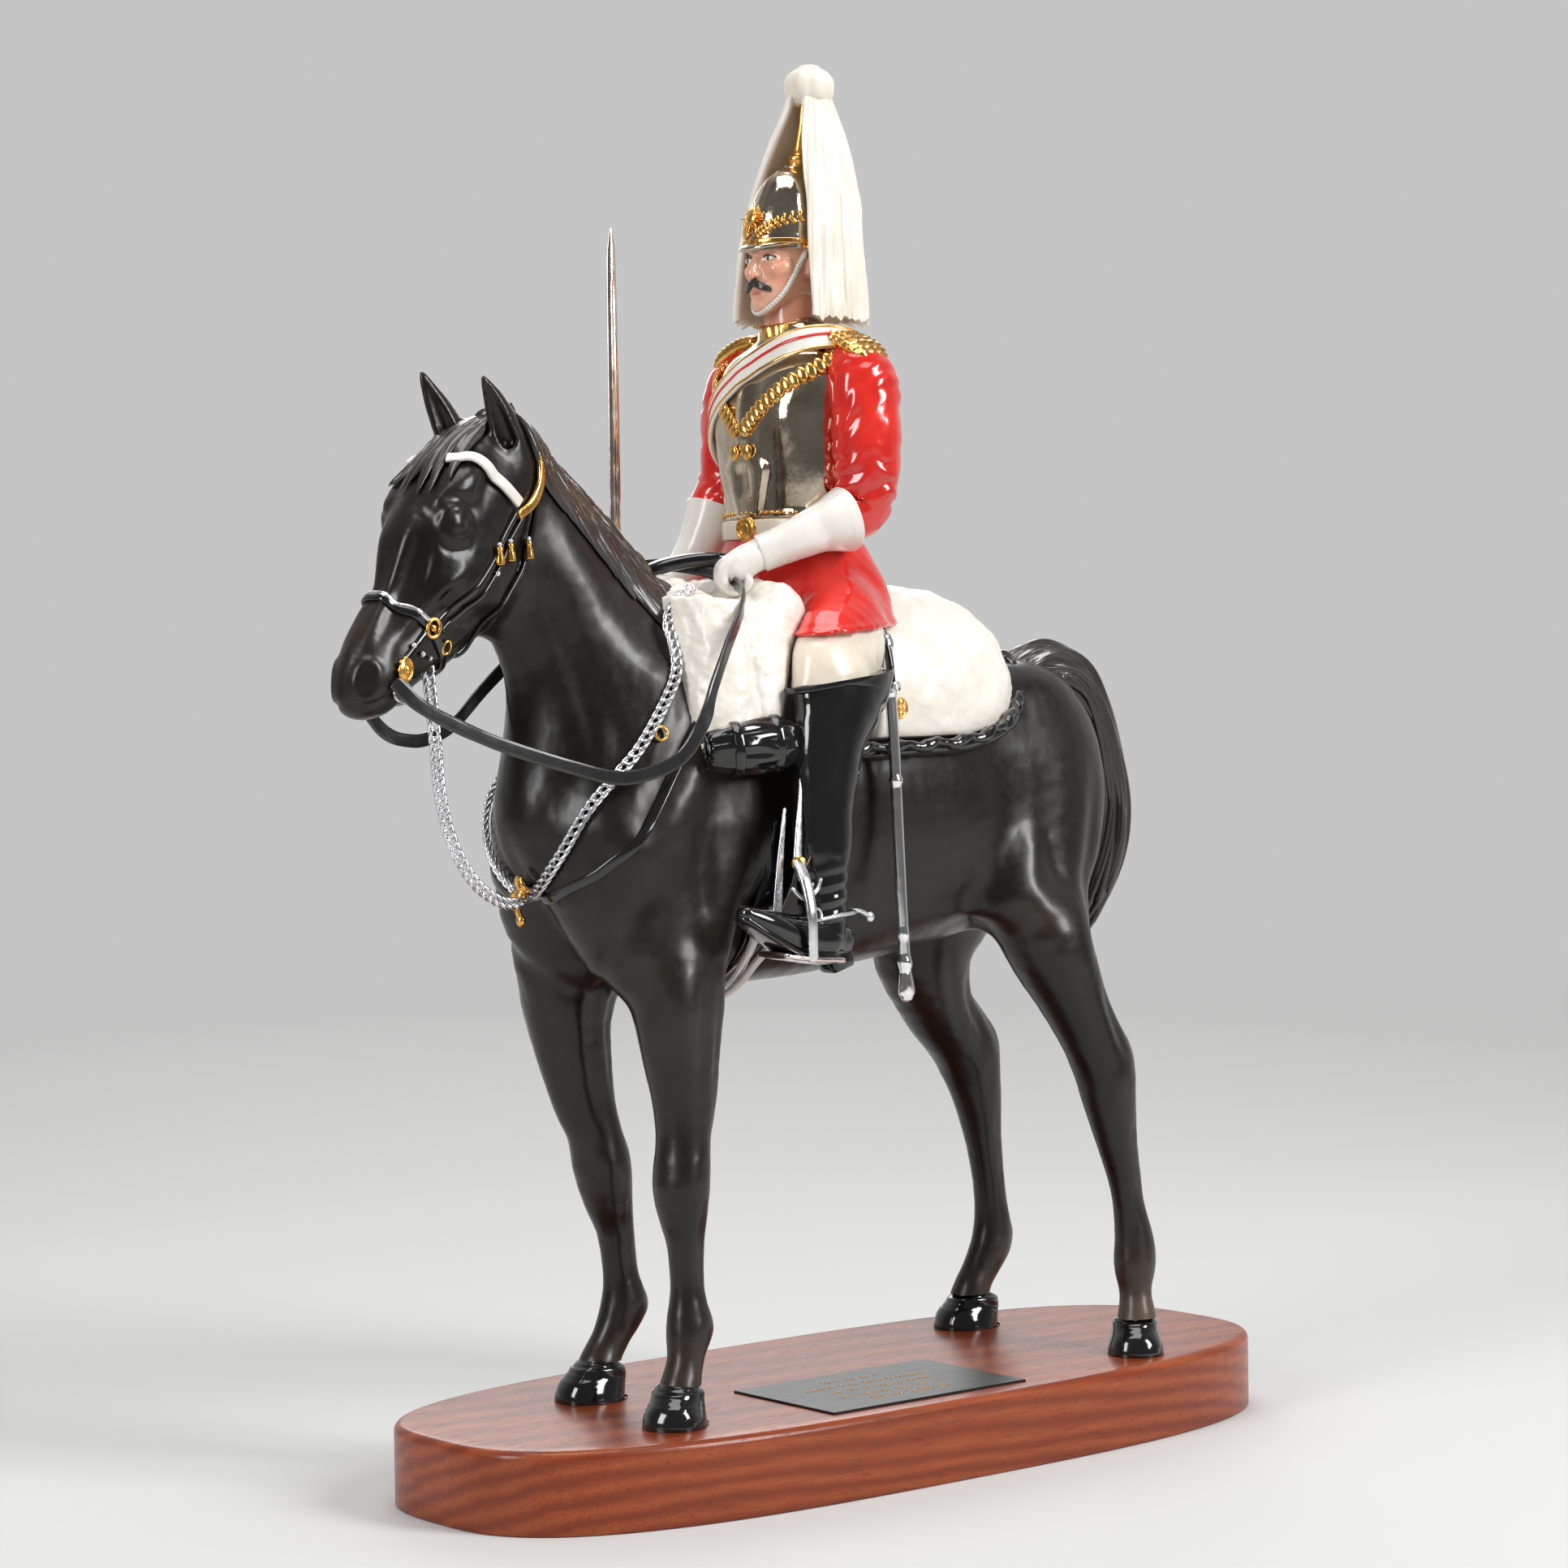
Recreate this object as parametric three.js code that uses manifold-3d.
// Mounted trooper: a glazed ceramic horse and rider on a mahogany plinth.
// Millimetres, +Z up. The horse faces -X and its near side faces -Y.
// The origin is the middle of the plinth's underside.
import * as THREE from 'three'
import { mergeVertices } from 'three/addons/utils/BufferGeometryUtils.js'
import Module from 'manifold-3d'

const wasm = await Module()
wasm.setup()

// Driving dimensions
const PLINTH_LENGTH = 266
const PLINTH_WIDTH = 105
const PLINTH_HEIGHT = 21
const PLINTH_ROUNDNESS = 3
const PLINTH_EDGE = 2.2
const PLINTH_SIDES = 40
const PLAQUE_LENGTH = 66
const PLAQUE_WIDTH = 41
const PLAQUE_THICKNESS = 0.6
const PLAQUE_MIDDLE = [-8, -24.5]
const WITHERS_HEIGHT = 207
const FIT_GAP = 0.3
const REIN_WIDTH = 3.2
const REIN_THICKNESS = 0.9
const CHAIN_GAUGE = 2.7
const CHAIN_STEP = 11
const BLADE_WIDTH = 2.8
const BLADE_THICKNESS = 1.2
const SCABBARD_WIDTH = 3.4
const SCABBARD_THICKNESS = 2.6

// The figure is laid out in shares of its own height: 207 shares from hoof to withers
const SHARES = 207
const UNIT = WITHERS_HEIGHT / SHARES
const NEAR = -1
const FAR = 1

// A closed solid from shared points and triangles
function solidFrom(points, triangles) {
  const mesh = new wasm.Mesh({
    numProp: 3,
    vertProperties: new Float32Array(points.flat()),
    triVerts: new Uint32Array(triangles.flat())
  })
  return new wasm.Manifold(mesh)
}

// Direction along the path, across it and square to both, at each station
function framesAlong(stations, side) {
  const places = stations.map(([x, y, z]) => new THREE.Vector3(x, y, z))
  return places.map((place, i) => {
    const before = places[Math.max(i - 1, 0)]
    const after = places[Math.min(i + 1, places.length - 1)]
    const along = after.clone().sub(before).normalize()
    const across = new THREE.Vector3(...side)
    across.addScaledVector(along, -across.dot(along)).normalize()
    const fore = across.clone().cross(along)
    return { place, along, across, fore }
  })
}

// Closes rings of points into a solid, with a pole point at each end
function skin(rings, firstPole, lastPole) {
  const count = rings[0].length
  const points = rings.flat().concat([firstPole, lastPole])
  const triangles = []
  const first = rings.length * count
  for (let j = 0; j < count; j += 1) {
    const next = (j + 1) % count
    triangles.push([first, next, j])
    for (let i = 0; i < rings.length - 1; i += 1) {
      const low = i * count
      const high = low + count
      triangles.push([low + j, low + next, high + next], [low + j, high + next, high + j])
    }
    const top = (rings.length - 1) * count
    triangles.push([first + 1, top + j, top + next])
  }
  const solid = solidFrom(points, triangles)
  if (solid.volume() > 0) return solid
  return solidFrom(points, triangles.map(([a, b, c]) => [a, c, b]))
}

const CAP_SHARE = 0.7
const signedPower = (value, power) => Math.sign(value) * Math.abs(value) ** power

// Body of oval sections. A station is [x, y, z, half depth, half width, egg];
// the egg value makes the section wider to the front (+) or to the back (-).
// The round values say how full the two end caps are: 0 flat, 1 as deep as the section
function loft(stations, { sides = 12, side = [0, 1, 0], power = 2, round = [1, 1] } = {}) {
  const frames = framesAlong(stations, side)
  const ringAt = (frame, [, , , depth, width, egg = 0], shift, scale) => {
    const middle = frame.place.clone().addScaledVector(frame.along, shift)
    return Array.from({ length: sides }, (_, k) => {
      const angle = 2 * Math.PI * (k + 0.5) / sides
      const fore = signedPower(Math.cos(angle), 2 / power)
      const across = signedPower(Math.sin(angle), 2 / power) * (1 + egg * Math.cos(angle))
      return middle.clone()
        .addScaledVector(frame.fore, depth * scale * fore)
        .addScaledVector(frame.across, width * scale * across)
        .toArray()
    })
  }
  const rings = stations.map((station, i) => ringAt(frames[i], station, 0, 1))
  const poles = [0, stations.length - 1].map((i, end) => {
    const outward = end === 0 ? -1 : 1
    const reach = round[end] * Math.min(stations[i][3], stations[i][4])
    if (reach > 0) {
      const collar = ringAt(frames[i], stations[i], outward * reach * CAP_SHARE, CAP_SHARE)
      if (end === 0) rings.unshift(collar)
      else rings.push(collar)
    }
    return frames[i].place.clone().addScaledVector(frames[i].along, outward * reach).toArray()
  })
  return skin(rings, ...poles)
}

// Flat strap: the wide way of its section stays as near upright as the path lets it
function strap(path, width, thickness) {
  const frames = framesAlong(path, [0, 0, 1])
  const rings = frames.map(({ place, across, fore }) => [[1, 1], [1, -1], [-1, -1], [-1, 1]].map(
    ([w, t]) => place.clone()
      .addScaledVector(across, w * width / 2)
      .addScaledVector(fore, t * thickness / 2)
      .toArray()
  ))
  return skin(rings, frames[0].place.toArray(), frames.at(-1).place.toArray())
}

// Round cord of one gauge, with flat ends. The side runs square to the plane that the path lies in
const cord = (path, gauge, { sides, side }) => loft(
  path.map(([x, y, z]) => [x, y, z, gauge / 2, gauge / 2]),
  { sides, side, round: [0, 0] }
)

const mirrored = (stations) => stations.map(([x, y, ...rest]) => [x, -y, ...rest])
const onBothSides = (stations) => [stations, mirrored(stations)]
const join = (solids) => wasm.Manifold.union(solids)

// Pose of the head: turned a little to the near side about the poll
const HEAD_TURN = THREE.MathUtils.degToRad(10)
const POLL = [-107, 0]
const HEAD_ACROSS = [-Math.sin(HEAD_TURN), Math.cos(HEAD_TURN), 0]

// A station ahead of the poll by reach and to the far side by off, in the turned head
function inHead([reach, off, z, ...rest]) {
  const x = POLL[0] - reach * Math.cos(HEAD_TURN) - off * Math.sin(HEAD_TURN)
  const y = POLL[1] - reach * Math.sin(HEAD_TURN) + off * Math.cos(HEAD_TURN)
  return [x, y, z, ...rest]
}

function makeTrunk() {
  const barrel = [
    [-90.5, 0, 142, 20, 12.5, 0], [-81.5, 0, 148, 33, 21, 0.05], [-68, 0, 152, 43, 26, 0.05],
    [-50, 0, 154.5, 48, 27.5, 0], [-25, 0, 151, 43.5, 29, -0.05], [0, 0, 150, 40, 30.5, -0.08],
    [25, 0, 152, 38, 30, -0.05], [45, 0, 154.5, 36, 28.5, 0], [65, 0, 156, 34, 27, 0],
    [80, 0, 157, 28, 23, 0], [90, 0, 157.5, 17, 14, 0]
  ]
  const breast = [[-76, 11, 160, 13, 9], [-82.5, 11.5, 147, 13, 10.5], [-86, 12, 133, 12, 11],
    [-82, 12.5, 119, 9.5, 9.5], [-78, 11.5, 109, 8, 8]]
  return [
    loft(barrel, { sides: 14, power: 2.2 }),
    ...onBothSides(breast).map((muscle) => loft(muscle, { sides: 7 }))
  ]
}

function makeNeck() {
  const neck = [
    [-47, 0, 160, 36, 20, -0.2], [-60, 0, 176, 32.5, 18, -0.25], [-73, 0, 192, 29.5, 15, -0.3],
    [-86, 0, 209, 24.5, 12.5, -0.2], [-97, 0, 225, 19.5, 11, -0.1], [-105.5, 0, 238, 14, 10, 0]
  ]
  const mane = [[-110, -2, 248, 3, 5], [-99, -5, 245.5, 4.5, 5.5], [-88, -7, 236, 6, 5],
    [-75, -8.5, 222, 7, 5], [-66, -9.5, 211, 6, 4.5]]
  return [loft(neck, { sides: 12 }), loft(mane, { sides: 6 })]
}

function makeHead() {
  const skull = [
    [3, 0, 244, 9, 9], [10, 0, 236.5, 14, 11.5, 0.05], [15.5, 0, 227.5, 18, 13, 0.1],
    [20.8, 0, 215.5, 19.5, 12.6, 0.05], [29, 0, 204, 14.8, 10.2], [35.5, 0, 199, 12.6, 8.8],
    [41.5, 0, 194, 10.9, 8.2], [46.5, 0, 188, 9.4, 8.3], [49.3, 0, 184.8, 6.5, 7]
  ].map(inHead)
  const forelock = [[6, 0, 250, 3, 5], [16, -1, 248, 3.5, 6], [25, 0.5, 242.5, 3.5, 5.5],
    [31.5, 2, 235, 2.6, 3.6]].map(inHead)
  const nearEar = [[-108.5, -8.5, 243, 4.2, 3.4], [-111.5, -9, 249.5, 4.4, 2.6],
    [-115.5, -9.8, 256.5, 3.2, 1.8], [-119, -10.5, 261.5, 0.8, 0.6]]
  const farEar = [[-115.5, 7, 246, 4.2, 3.4], [-118.5, 7.6, 252, 4.4, 2.6],
    [-121.5, 8.4, 258.5, 3.2, 1.8], [-124, 9, 264, 0.8, 0.6]]
  const side = HEAD_ACROSS
  return [
    loft(skull, { side, sides: 10 }),
    loft(forelock, { side, sides: 6 }),
    ...[nearEar, farEar].map((ear) => loft(ear, { side, sides: 5 }))
  ]
}

// Straps, rings and tassels of the bridle, raised on the head
function makeBridle() {
  const noseband = [[46.2, 0, 210, 1.4, 1.5], [42.8, -8.2, 206.8, 1.4, 1.5], [35, -9.8, 201, 1.6, 1.8]]
  const browband = [[28, 0, 243.5, 1.4, 1.6], [20, -10.5, 241, 1.4, 1.6], [6, -12.2, 231, 1.4, 1.6]]
  const cheekpiece = [[6, -12.2, 231, 1.4, 1.6], [14, -13, 219.5, 1.4, 1.6], [22, -12, 210.5, 1.4, 1.6],
    [35, -9.8, 201, 1.6, 1.8], [45, -9, 190, 2.8, 2.2]]
  const far = ([reach, off, ...rest]) => [reach, -off, ...rest]
  const pieces = [noseband, browband, cheekpiece].flatMap((strip) => [strip, strip.map(far)])
  const flatOnHead = { sides: 4, side: [0.2, 0.4, 0.9], round: [0, 0] }
  return pieces.map((piece) => loft(piece.map(inHead), flatOnHead))
}

// Leg stations run down the limb: [x, y, z, half depth, half width]
const LEGS = {
  nearFore: [
    [-71, -15, 148, 23, 13], [-71, -19, 122, 17, 11], [-71, -22, 110, 13, 10.5],
    [-71, -22.5, 96, 11, 9.6], [-70.5, -23, 80, 8.6, 8], [-71.3, -23.5, 69, 7, 7.2],
    [-72.5, -24, 58, 7.6, 7.7], [-72.4, -24, 49, 6.1, 6.4], [-71.5, -24, 38, 4.7, 4.5], [-71.3, -24.6, 23, 6.4, 5.8], [-73.2, -25.6, 15.5, 4.9, 4.9],
    [-75.5, -26.4, 10, 5.3, 5.2]
  ],
  farFore: [
    [-73, 15, 148, 22, 13], [-75.5, 18, 122, 16, 11.5], [-76.5, 18, 110, 13, 11],
    [-76.5, 17.5, 97, 11, 10], [-73.5, 16.5, 79, 8.6, 8], [-70.8, 15.5, 69, 7.3, 7.2],
    [-68.5, 15, 58, 7.8, 7.7], [-66.7, 15, 49, 6, 6.2], [-63.7, 15, 36, 4.7, 4.5],
    [-62.3, 15, 23, 6.3, 5.6], [-66.5, 15.5, 15, 5, 4.9],
    [-69.5, 16, 10.5, 5.6, 5.4]
  ],
  farHind: [
    [67, 14, 160, 24, 13.5], [59, 20, 130, 22, 14], [51, 24, 112, 16, 12.5],
    [57.5, 26.5, 95, 11, 10.3], [66, 27.5, 84.5, 10.5, 8.5], [71.3, 28, 77, 10.5, 7.5],
    [74, 28, 68, 8, 6.5], [76.5, 28, 55, 5.9, 5.3], [79, 28, 39, 4.9, 4.5], [79.6, 28, 29, 5.6, 5], [78.8, 28, 22.5, 6.4, 5.5],
    [73, 28, 14, 5.3, 5.2], [71, 28, 10, 6, 5.6]
  ],
  nearHind: [
    [67, -14, 160, 24, 13.5], [58, -21, 130, 20.5, 14], [51.5, -27, 115, 13, 12],
    [57, -29.3, 101, 9.8, 9.6], [63.5, -30.5, 88.5, 9, 8.3], [68.3, -31, 79, 9.6, 7.6],
    [70.3, -31, 69, 7.8, 6.7], [73, -31.3, 56, 5.7, 5.1], [76.4, -31.8, 40, 4.6, 4.4], [77.9, -32, 31, 5.6, 5.4], [77.7, -32.2, 23.5, 6.2, 5.8],
    [77.2, -33, 16, 4.4, 4.5], [76.6, -34, 10.5, 5.6, 5.6]
  ]
}

// Hooves: place of the hoof's middle and how far the toe turns to the near side, in degrees
const HOOVES = {
  nearFore: { middle: [-76.9, -26.6], turn: 35 },
  farFore: { middle: [-72.4, 15], turn: 0 },
  farHind: { middle: [71.1, 28.9], turn: -4 },
  nearHind: { middle: [76.2, -33.7], turn: 48 }
}
const HOOF_HEIGHT = 10.5
// Rings of a hoof from the hair line to below the sole: share of its height, forward shift, sizes
const HOOF_RINGS = [
  [1.08, -1, 5.4, 5.2], [0.75, -0.5, 7.2, 6.5], [0, 0.4, 10.4, 8.2], [-0.2, 0.5, 10.6, 8.3]
]

function makeHoof({ middle, turn }) {
  const angle = THREE.MathUtils.degToRad(turn)
  const toe = [-Math.cos(angle), -Math.sin(angle)]
  const rings = HOOF_RINGS.map(([share, shift, depth, width]) => [
    middle[0] + toe[0] * shift, middle[1] + toe[1] * shift, share * HOOF_HEIGHT, depth, width
  ])
  const side = [-toe[1], toe[0], 0]
  return loft(rings, { sides: 8, side, power: 2.3, round: [0, 0] })
}

function makeLegs() {
  const limbs = Object.values(LEGS).map((stations) => loft(stations, { sides: 7, round: [0, 1] }))
  const hooves = Object.values(HOOVES).map(makeHoof)
  return [...limbs, ...hooves]
}

function makeTail() {
  const tail = [
    [58, 0, 182, 6, 6], [74, 0, 189, 7.4, 7.5], [84, 0, 185.5, 7.5, 8],
    [90.5, 0, 176, 7.5, 8.5], [95, 0, 163, 7.5, 9], [98, 0, 148, 7.5, 9], [98, 0, 134, 7, 8],
    [95, 0, 120, 4.5, 5], [91.5, 0, 110, 1.5, 1.5]
  ]
  return [loft(tail, { sides: 6 })]
}

const makeHorse = () => [
  ...makeTrunk(), ...makeNeck(), ...makeHead(), ...makeBridle(), ...makeLegs(), ...makeTail()
]

// Sheepskins, black cloth under them, rolled holsters and girth
function makeSaddlery() {
  const foreSkin = [[-53.5, 0, 173, 13, 34.5], [-53.5, 0, 185, 13.5, 32.5], [-54, 0, 198, 14, 26],
    [-54, 0, 208, 13.5, 18], [-53, 0, 214.5, 9, 10]]
  const rearSkin = [[-38, 0, 186, 20, 28], [-18, 0, 189, 21, 30.5], [2, 0, 190, 21.5, 31.8],
    [20, 0, 189.7, 21.6, 32], [34, 0, 188.5, 21, 29.5], [45, 0, 186.5, 19, 24], [52, 0, 185, 14.5, 16.5]]
  const cloth = [[-44, 0, 183, 20, 29], [-18, 0, 185, 22, 32], [2, 0, 185.5, 22, 33.5],
    [20, 0, 185, 22, 33.8], [36, 0, 183.5, 21, 31], [47, 0, 182, 18, 25.5], [54, 0, 181, 13, 18]]
  const holster = [[-66, 31, 169, 4.5, 4], [-60, 34, 169.5, 6.4, 5], [-50, 35, 170.5, 7, 5.4],
    [-43, 35, 171, 5.5, 4.6]]
  const girth = [[-44, 28, 128, 1.6, 2.4], [-45.5, 24, 115.5, 1.6, 2.4], [-47.5, 12, 108.3, 1.6, 2.4],
    [-48, 0, 107, 1.6, 2.4], [-47.5, -12, 108.3, 1.6, 2.4], [-45.5, -24, 115.5, 1.6, 2.4],
    [-44, -28, 128, 1.6, 2.4]]
  return [
    loft(foreSkin, { sides: 10, power: 2.8, round: [0, 1] }),
    loft(rearSkin, { sides: 10, power: 2.5, round: [1, 0.35] }),
    loft(cloth, { sides: 8, power: 2.6, round: [1, 0.35] }),
    ...onBothSides(holster).map((roll) => loft(roll, { sides: 6 })),
    loft(girth, { sides: 4, side: [1, 0, 0] })
  ]
}

// Stirrup: a bow about the foot, its tread, and the doubled leather above it
function makeStirrup(way) {
  const arch = [[-39, way * 40, 115.2], [-42, way * 47.8, 118.5], [-45, way * 48, 130],
    [-47.5, way * 43, 139.5], [-46.8, way * 36.5, 136], [-44, way * 32.3, 122], [-41, way * 34.5, 115.5],
    [-39, way * 40, 115.2]]
  const leather = [[-47.5, way * 42.4, 139], [-46.5, way * 41.5, 150], [-44, way * 40, 163]]
  return [
    cord(arch, 2.4, { sides: 4, side: [1, 0, 0] }),
    cord(leather, 3, { sides: 4, side: [1, 0, 0] })
  ]
}

function makeRiderLeg(way) {
  const thigh = [[-6, way * 17, 201, 12, 12], [-17, way * 26, 197, 13, 10],
    [-27, way * 33, 191, 12.5, 9], [-32, way * 36.5, 183, 11.5, 8]]
  const boot = [
    [-28, way * 37, 186, 17, 9], [-30.5, way * 37.5, 180, 13.5, 8.5],
    [-34, way * 38, 170, 10.5, 8], [-36.2, way * 38.6, 156, 8.5, 7.6],
    [-37.1, way * 39.2, 138, 7, 6.7], [-37.8, way * 39.5, 126, 6.2, 6]
  ]
  const foot = [[-38, way * 39.5, 121, 6.5, 6.5], [-44, way * 40.2, 120.5, 6.2, 5.8],
    [-52, way * 41, 123, 5.2, 5.2], [-60, way * 41.8, 126.5, 3.8, 4.8],
    [-65, way * 42.2, 129, 2, 3]]
  return [
    loft(thigh, { sides: 8 }),
    loft(boot, { sides: 8, round: [0, 1] }),
    loft(foot, { sides: 6 }),
    ...makeStirrup(way)
  ]
}

function makeArms() {
  const nearSleeve = [[-10, -20.5, 269, 8, 7.5], [-10.3, -26.5, 263, 9.5, 8.8],
    [-10.5, -27.5, 250, 9.3, 8.6], [-10.5, -27, 238, 8.6, 8.3], [-12, -26, 231, 7.5, 7.5],
    [-18, -25, 227.6, 6.2, 6.2]]
  const nearGauntlet = [[-13.5, -26, 229.5, 8.6, 7.8], [-20, -25, 227, 7.4, 6.8],
    [-28, -22, 223.5, 5.8, 5.6], [-36, -16, 219.5, 5, 5.1], [-41, -13, 217, 5.2, 5.8],
    [-45, -10.5, 213.5, 5.4, 5.8], [-46, -9, 209.5, 4.5, 4.5]]
  const farSleeve = [[-10, 20.5, 269, 8, 7.5], [-10.3, 26.5, 263, 9.5, 8.8],
    [-11, 27.5, 250, 9.3, 8.6], [-12, 28, 239, 8.6, 8.3], [-16, 28.5, 233, 7.2, 7.2]]
  const farGauntlet = [[-15, 28, 235, 8.6, 7.8], [-20, 29, 230.5, 7.4, 6.8],
    [-27.5, 30.5, 223, 5.8, 5.6], [-34, 31.5, 218, 5, 5.1], [-40, 32, 214.5, 5.2, 5.8],
    [-45, 32, 211.5, 5.6, 6], [-46, 32, 207.5, 4.5, 4.5]]
  return [
    ...[nearSleeve, farSleeve].map((sleeve) => loft(sleeve, { sides: 7 })),
    ...[nearGauntlet, farGauntlet].map((glove) => loft(glove, { sides: 8, round: [0, 1] }))
  ]
}

function makeBody() {
  const body = [
    [-10.5, 0, 199.5, 23.5, 33], [-11, 0, 207, 22, 28.5], [-12.8, 0, 214, 18.5, 23.5],
    [-14.8, 0, 222.5, 13, 17], [-14.8, 0, 223.5, 13.8, 18], [-15, 0, 229.5, 13, 17.2],
    [-14.5, 0, 240, 14.5, 19.5], [-14, 0, 253, 16, 22],
    [-12.5, 0, 264, 14.5, 22.5], [-11.5, 0, 271, 10, 18], [-12, 0, 276, 6.5, 9]
  ]
  const shoulderScale = [[-12, 14, 275.5, 5, 2.4], [-11, 21.5, 274.5, 6, 2.4], [-10.5, 29.5, 270, 6, 2.2]]
  return [
    loft(body, { sides: 12, power: 2.3, round: [0, 1] }),
    ...onBothSides(shoulderScale).map((scale) => loft(scale, { sides: 5, side: [0, 0, 1] }))
  ]
}

// Falling plume: a curtain of hair about the head, parted at the front.
// Rows: height, middle x, half depth, half width, half angle of the parting, inner depth and width
const PLUME_ROWS = [
  [282, -9.5, 17, 17.6, 55, 9, 8], [292, -9.5, 16.8, 17.3, 54, 9.5, 8], [303, -9, 16, 16.5, 50, 10, 8.5],
  [312, -7.6, 14.4, 15, 43, 8.5, 7.5], [320, -6.7, 12.4, 13, 33, 4, 4], [329, -5.7, 9.4, 10, 20, 1.6, 1.6],
  [336, -5.3, 7, 7.2, 6, 1.4, 1.4]
]
const HEAD_MIDDLE = -13.5
const SPIKE_MIDDLE = -9
const HELMET_CROWN = 318

function makePlume() {
  const outerCount = 13
  const innerCount = 6
  const rings = PLUME_ROWS.map(([z, x, depth, width, parting, inDepth, inWidth]) => {
    const open = THREE.MathUtils.degToRad(parting)
    const inner = z < HELMET_CROWN ? HEAD_MIDDLE : SPIKE_MIDDLE
    const arc = (count, middle, a, b) => Array.from({ length: count }, (_, k) => {
      const angle = open + (2 * Math.PI - 2 * open) * k / (count - 1)
      return [middle - a * Math.cos(angle), -b * Math.sin(angle), z]
    })
    return [...arc(outerCount, x, depth, width), ...arc(innerCount, inner, inDepth, inWidth).reverse()]
  })
  return curtain(rings, outerCount, innerCount)
}

// Closes C-shaped rings, with strips between the outer and inner arcs at both ends
function curtain(rings, outerCount, innerCount) {
  const count = rings[0].length
  const triangles = []
  for (let i = 0; i < rings.length - 1; i += 1) {
    for (let j = 0; j < count; j += 1) {
      const next = (j + 1) % count
      const [low, high] = [i * count, (i + 1) * count]
      triangles.push([low + j, high + next, low + next], [low + j, high + j, high + next])
    }
  }
  const lastRing = (rings.length - 1) * count
  for (let outer = 0, inner = 0; outer < outerCount - 1 || inner < innerCount - 1;) {
    const a = outer
    const b = count - 1 - inner
    const takeOuter = outer / (outerCount - 1) <= inner / (innerCount - 1) && outer < outerCount - 1
    const c = takeOuter ? a + 1 : b - 1
    triangles.push([a, c, b], [lastRing + a, lastRing + b, lastRing + c])
    if (takeOuter) outer += 1
    else inner += 1
  }
  const solid = solidFrom(rings.flat(), triangles)
  if (solid.volume() > 0) return solid
  return solidFrom(rings.flat(), triangles.map(([a, b, c]) => [a, c, b]))
}

function makeHeadAndHelmet() {
  const face = [[-13, 0, 271, 7, 7.5], [-13.5, 0, 279, 6.5, 6.6], [-15.4, 0, 284, 8.8, 7.2],
    [-15, 0, 291, 10.8, 8.5], [-14, 0, 302, 11, 9]]
  const helmet = [[-14, 0, 300, 11.5, 9.8], [-13.6, 0, 307, 11, 9.6], [-12.5, 0, 314, 9, 8],
    [-11, 0, 319.5, 5, 4.5], [-9.5, 0, 322.5, 2.4, 2.4], [-8.5, 0, 330, 2, 2], [-7, 0, 339, 2, 2]]
  const brim = [[-27.5, 0, 299.5, 2.5, 4.5], [-22, 0, 301.5, 2.5, 8.5], [-14, 0, 303, 2, 9.8]]
  const nose = [[-24.5, 0, 298, 1.6, 1.3], [-26.5, 0, 293.8, 1.8, 1.7], [-25, 0, 291.8, 1.6, 1.9]]
  const moustache = [[-23.5, -5.4, 289.2, 0.9, 1], [-25.8, -2.5, 290.4, 1.3, 1.3],
    [-26.3, 0, 290.6, 1.2, 1.2], [-25.8, 2.5, 290.4, 1.3, 1.3], [-23.5, 5.4, 289.2, 0.9, 1]]
  const knob = [[-5.4, 0, 334, 6.4, 6.8], [-5.2, 0, 339.5, 5.7, 5.9], [-5.4, 0, 342.5, 6.7, 6.7],
    [-5.4, 0, 347, 5.6, 5.6], [-5.4, 0, 348.6, 3, 3]]
  return [
    loft(face, { sides: 8, round: [0, 0] }),
    loft(helmet, { sides: 8, round: [0, 1] }),
    loft(brim, { sides: 6 }),
    loft(nose, { sides: 5 }),
    loft(moustache, { sides: 4, side: [0, 0, 1] }),
    loft(knob, { sides: 10, round: [0, 0] }),
    makePlume()
  ]
}

const makeRider = () => [
  ...makeBody(), ...makeArms(), ...makeRiderLeg(NEAR), ...makeRiderLeg(FAR), ...makeHeadAndHelmet()
]

// Paths of what hangs on or is held by the figure, in the same shares
const REIN_PATH = [
  [-150.8, -16.8, 187.5], [-145, -18.5, 182], [-135, -19, 177], [-121, -20, 171.5], [-104, -23.5, 166],
  [-91, -28.5, 163], [-79.5, -34.5, 166.5], [-73.5, -38.5, 176], [-67.5, -37.5, 186],
  [-59.5, -31.5, 197.5], [-49, -20, 206.5], [-44.5, -9.5, 212.5], [-46.5, -1, 217.5],
  [-55, 6, 220.5], [-66, 15, 216.5], [-78, 19.5, 206], [-90, 19.5, 194], [-102, 18, 184.5],
  [-113, 13, 177.5], [-122, 9.5, 174], [-131, 7, 173], [-141, 4.5, 176], [-151.8, 1.8, 187]
]
const COLLAR_SIDE = [
  [-59.5, -16.5, 209.5], [-63, -17.7, 206], [-66.4, -19.2, 195], [-71.8, -19.6, 183],
  [-80.1, -20.9, 171], [-87, -20.4, 162], [-92.8, -17.3, 152.7], [-97.2, -11.2, 142.6],
  [-100.7, -4.4, 135.2]
]
const COLLAR_PATH = [...COLLAR_SIDE, [-101.8, 0, 133.2], ...mirrored(COLLAR_SIDE).reverse()]
const LEAD_PATH = [
  [-101.8, -0.8, 133.2], [-107, -3.6, 131.8], [-114.5, -6.2, 132.8], [-123, -8, 138],
  [-130, -9, 148], [-133.8, -9.8, 160], [-135.3, -10.2, 174], [-136.8, -10.5, 187],
  [-137.3, -10.6, 194]
]
const KNOT = [[-102.6, -0.8, 138, 2.2], [-102.4, -0.8, 133, 3.2], [-101.2, -0.8, 127.5, 1.6]]
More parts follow.
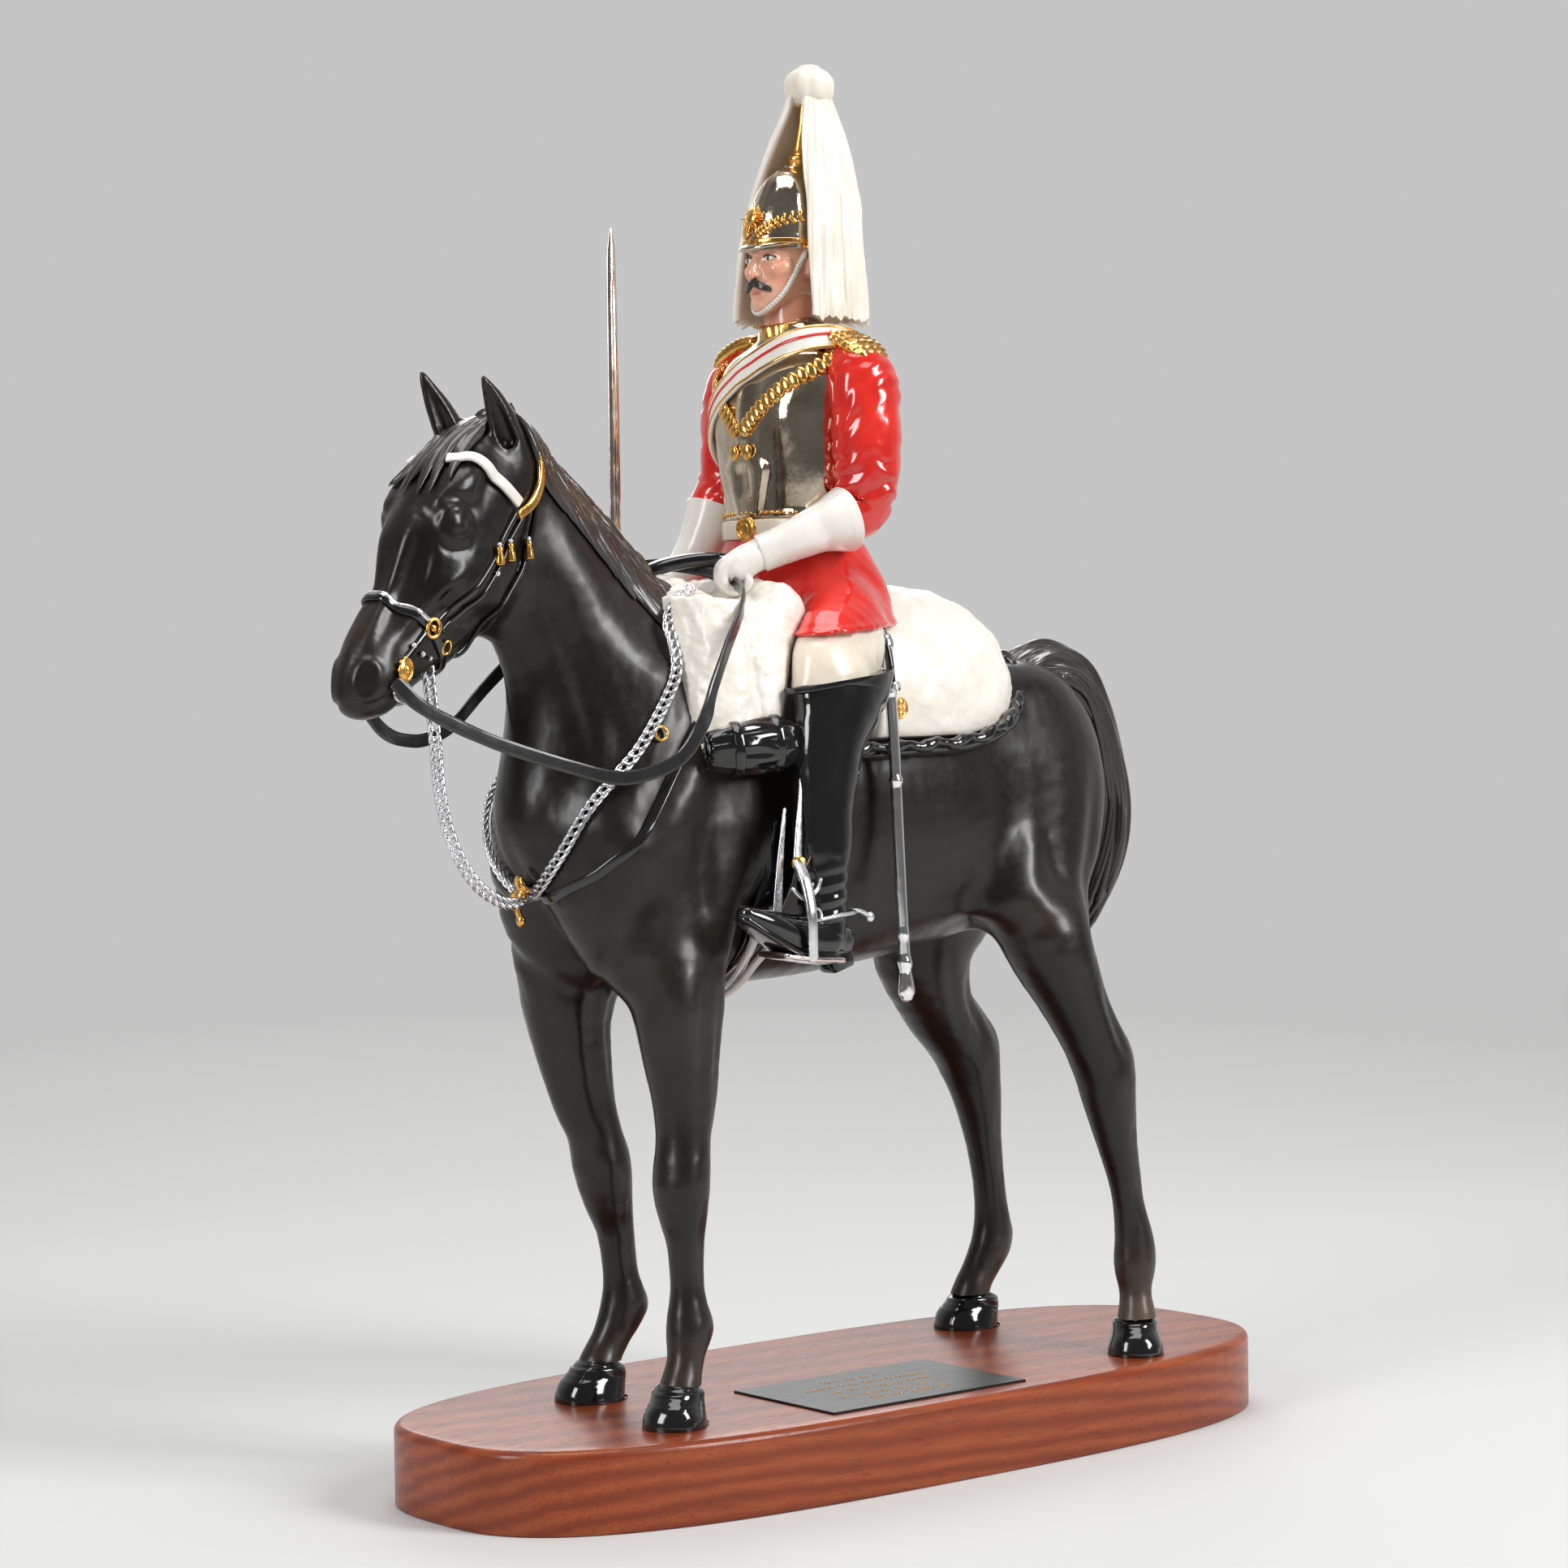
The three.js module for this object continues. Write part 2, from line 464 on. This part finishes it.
const SWORD_LINE = { x: -47.6, y: 32.5, hilt: 203, bowl: 218.4, guard: 220, taper: 298, point: 307 }
const GRIP_SIZES = [1.9, 1.6]
const BOWL_SIZES = [4.6, 4]
const BOWL_LIP = 0.8
const SCABBARD_PATH = [
  [-10.5, -34, 197], [-10.5, -35, 188], [-10.3, -36.2, 172], [-9.8, -36.4, 158],
  [-8.6, -36.4, 130], [-7.2, -36.2, 104]
]
const SCABBARD_DRAG = [[-7.4, -36.2, 107, 1.25], [-7.2, -36.2, 103.5, 1.4]]

// Evenly spaced places along a smooth path
function spaced(path, step) {
  const curve = new THREE.CatmullRomCurve3(path.map((p) => new THREE.Vector3(...p)))
  const count = Math.round(curve.getLength() / step)
  return curve.getSpacedPoints(count).map((p) => p.toArray())
}

// Collar and lead of chain, with the knot where they meet; extra grows them all round
function makeChain(extra) {
  const gauge = (CHAIN_GAUGE + 2 * extra) / UNIT
  const strand = (path, side) => cord(spaced(path, CHAIN_STEP / UNIT), gauge, { sides: 5, side })
  const knot = KNOT.map(([x, y, z, size]) => [x, y, z, size + extra / UNIT, size + extra / UNIT])
  return join([strand(COLLAR_PATH, [0.9, 0, -0.45]), strand(LEAD_PATH, [-0.2, 1, 0]), loft(knot, { sides: 6 })])
}

const makeReins = (extra) => strap(
  REIN_PATH, (REIN_WIDTH + 2 * extra) / UNIT, (REIN_THICKNESS + 2 * extra) / UNIT
)

function makeSword(extra) {
  const { x, y, hilt, bowl, guard, taper, point } = SWORD_LINE
  const depth = BLADE_WIDTH / 2 / UNIT
  const width = BLADE_THICKNESS / 2 / UNIT
  const rows = (stations) => stations.map(([z, a, b]) => [x, y, z, a + extra / UNIT, b + extra / UNIT])
  const blade = rows([[guard, depth, width], [taper, depth * 0.9, width], [point, depth / 3, width / 2]])
  const grip = rows([[hilt, ...GRIP_SIZES], [guard, ...GRIP_SIZES]])
  const cup = rows([[bowl, ...GRIP_SIZES.map((size) => size * 1.5)], [guard, ...BOWL_SIZES],
    [guard + BOWL_LIP, ...BOWL_SIZES]])
  return join([
    loft(blade, { sides: 6, round: [0, 0] }),
    loft(grip, { sides: 6, round: [1, 0] }),
    loft(cup, { sides: 8, round: [0, 0] })
  ])
}

// Scabbard: a rod with a thicker drag at its lower end
function makeScabbard(extra) {
  const depth = (SCABBARD_WIDTH / 2 + extra) / UNIT
  const width = (SCABBARD_THICKNESS / 2 + extra) / UNIT
  const rod = SCABBARD_PATH.map((place) => [...place, depth, width])
  const drag = SCABBARD_DRAG.map(([x, y, z, swell]) => [x, y, z, depth * swell, width * swell])
  return join([loft(rod, { sides: 6, round: [0, 0] }), loft(drag, { sides: 6 })])
}

// Fills the sealed pores that are left where straps lie on the head
const withoutPores = (solid) => join(solid.decompose().filter((body) => body.volume() > 0))

// The cast, cut level under the hooves, with room for everything that it holds or carries
function makeFigure() {
  const cast = withoutPores(join([...makeHorse(), ...makeSaddlery(), ...makeRider()]))
  const room = join([makeReins(FIT_GAP), makeChain(FIT_GAP), makeSword(FIT_GAP), makeScabbard(FIT_GAP)])
  return cast.trimByPlane([0, 0, 1], 0).subtract(room)
}

// Plinth: swept oblong whose outline is |x/a|^n + |y/b|^n = 1, with an eased top edge
function makePlinth() {
  const count = PLINTH_SIDES
  const [a, b, n] = [PLINTH_LENGTH / 2, PLINTH_WIDTH / 2, PLINTH_ROUNDNESS]
  const outline = (inset) => Array.from({ length: count }, (_, k) => {
    const angle = 2 * Math.PI * k / count
    const x = signedPower(Math.cos(angle), 2 / n)
    const y = signedPower(Math.sin(angle), 2 / n)
    return [x * (a - inset), y * (b - inset)]
  })
  const edge = [0, 45, 90].map((degrees) => {
    const angle = THREE.MathUtils.degToRad(degrees)
    return [PLINTH_EDGE * (1 - Math.cos(angle)), PLINTH_HEIGHT - PLINTH_EDGE * (1 - Math.sin(angle))]
  })
  const rings = [[0, 0], ...edge].map(([inset, z]) => outline(inset).map(([x, y]) => [x, y, z]))
  return skin(rings, [0, 0, 0], [0, 0, PLINTH_HEIGHT])
}

// Geometry of a finished solid, grown from shares to millimetres
function toGeometry(solid, unit) {
  const { numProp, vertProperties, triVerts } = solid.getMesh()
  const places = new Float32Array(vertProperties.length / numProp * 3)
  for (let i = 0; i < places.length / 3; i += 1) {
    for (let k = 0; k < 3; k += 1) places[3 * i + k] = vertProperties[numProp * i + k] * unit
  }
  const geometry = new THREE.BufferGeometry()
  geometry.setAttribute('position', new THREE.BufferAttribute(places, 3))
  geometry.setIndex(new THREE.BufferAttribute(new Uint32Array(triVerts), 1))
  const merged = mergeVertices(geometry, 1e-5)
  merged.computeVertexNormals()
  return merged
}

function named(name, geometry, color, roughness, metalness) {
  const mesh = new THREE.Mesh(geometry, new THREE.MeshStandardMaterial({ color, roughness, metalness }))
  mesh.name = name
  return mesh
}

const statuette = new THREE.Group()
statuette.add(named('plinth', toGeometry(makePlinth(), 1), 0x8a3d22, 0.35, 0))

const plaque = named(
  'plaque', new THREE.BoxGeometry(PLAQUE_LENGTH, PLAQUE_WIDTH, PLAQUE_THICKNESS), 0x17181a, 0.4, 0.6
)
plaque.position.set(...PLAQUE_MIDDLE, PLINTH_HEIGHT + PLAQUE_THICKNESS / 2)
statuette.add(plaque)

const figure = new THREE.Group()
figure.position.z = PLINTH_HEIGHT
figure.add(
  named('horse_and_rider', toGeometry(makeFigure(), UNIT), 0x1f1a17, 0.3, 0),
  named('sword', toGeometry(makeSword(0), UNIT), 0xcbbcb4, 0.2, 1),
  named('scabbard', toGeometry(makeScabbard(0), UNIT), 0xc9c9cb, 0.2, 1),
  named('neck_chain', toGeometry(makeChain(0), UNIT), 0xb9babd, 0.3, 1),
  named('reins', toGeometry(makeReins(0), UNIT), 0x121212, 0.45, 0)
)
statuette.add(figure)

export default statuette
